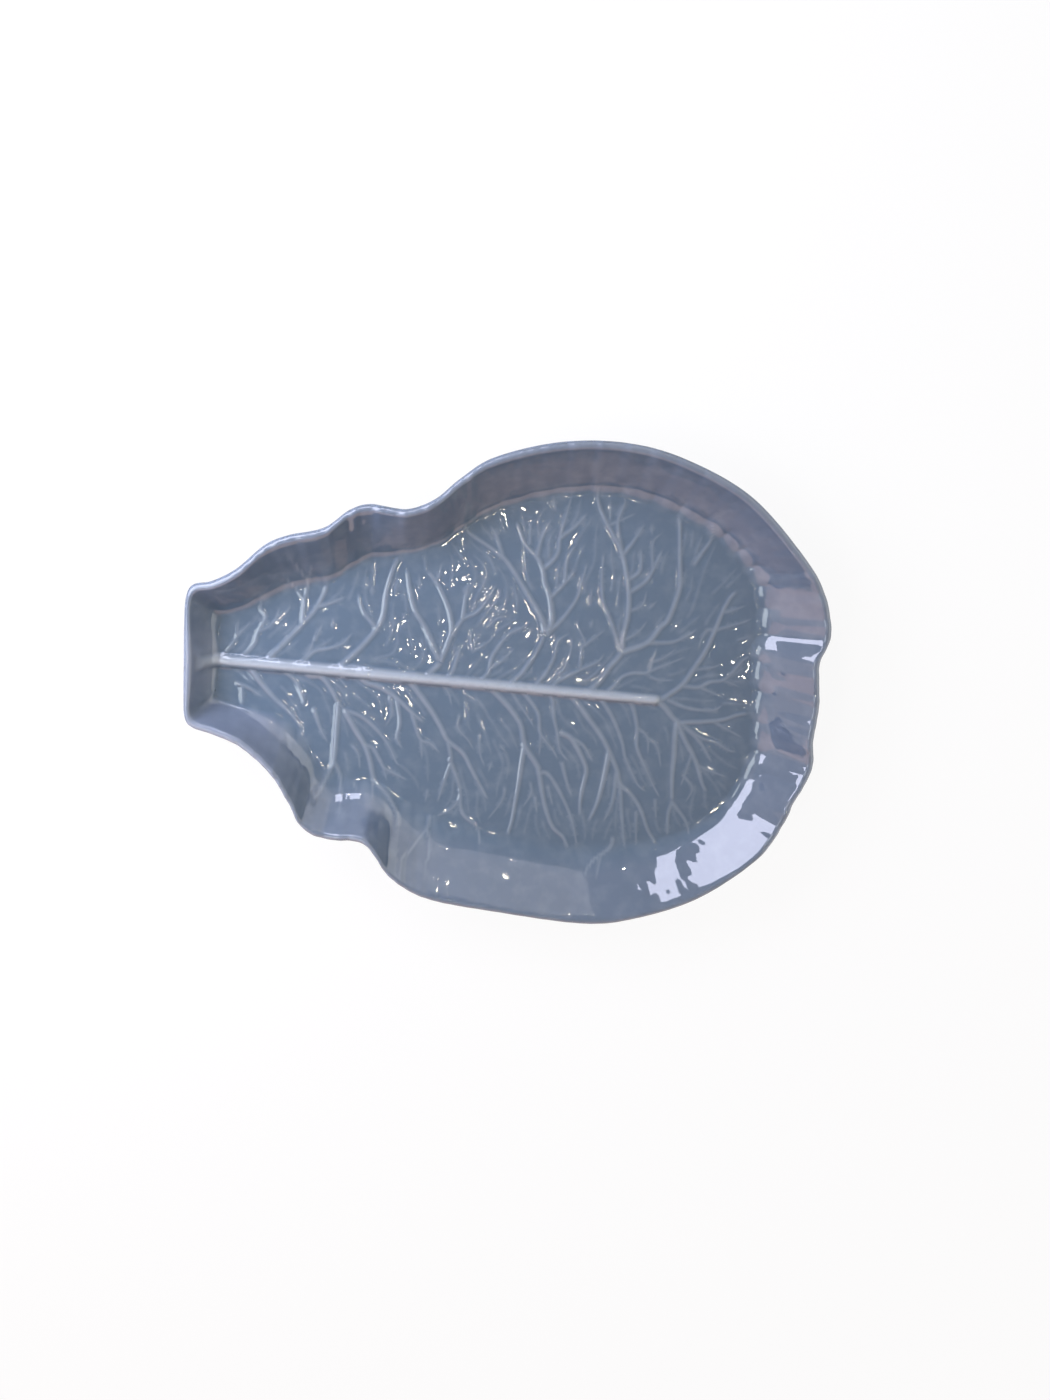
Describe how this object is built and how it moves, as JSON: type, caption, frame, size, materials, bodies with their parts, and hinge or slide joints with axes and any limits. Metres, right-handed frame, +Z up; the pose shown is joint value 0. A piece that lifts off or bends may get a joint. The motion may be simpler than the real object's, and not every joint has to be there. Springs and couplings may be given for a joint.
{
  "type": "leaf shaped plate",
  "caption": "Leaf shaped glazed ceramic serving plate with a sloping ruffled rim, raised veins in the well, a straight cut stem end and a low foot ring.",
  "frame": {"origin": "under the middle of the plate's box, on the plane that the foot ring stands on", "axes": "+X from the cut stem end to the leaf's tip along the midrib, +Z up, out of the face; the wider side lobe of the stem half lies towards +Y"},
  "size_m": [0.3235, 0.2534, 0.0334],
  "materials": {
    "bare_earthenware": "unglazed fired clay, matt, on the foot ring's edge only",
    "pale_blue_glaze": "glossy pale grey-blue glaze, thinner and paler on the raised veins and the lip",
    "base_glaze": "glossy pale grey-blue glaze, smooth"
  },
  "bodies": {
    "root": {"earthenware_body": "bare_earthenware", "glaze_coat": "pale_blue_glaze", "base_glaze": "base_glaze"}
  },
  "joints": []
}
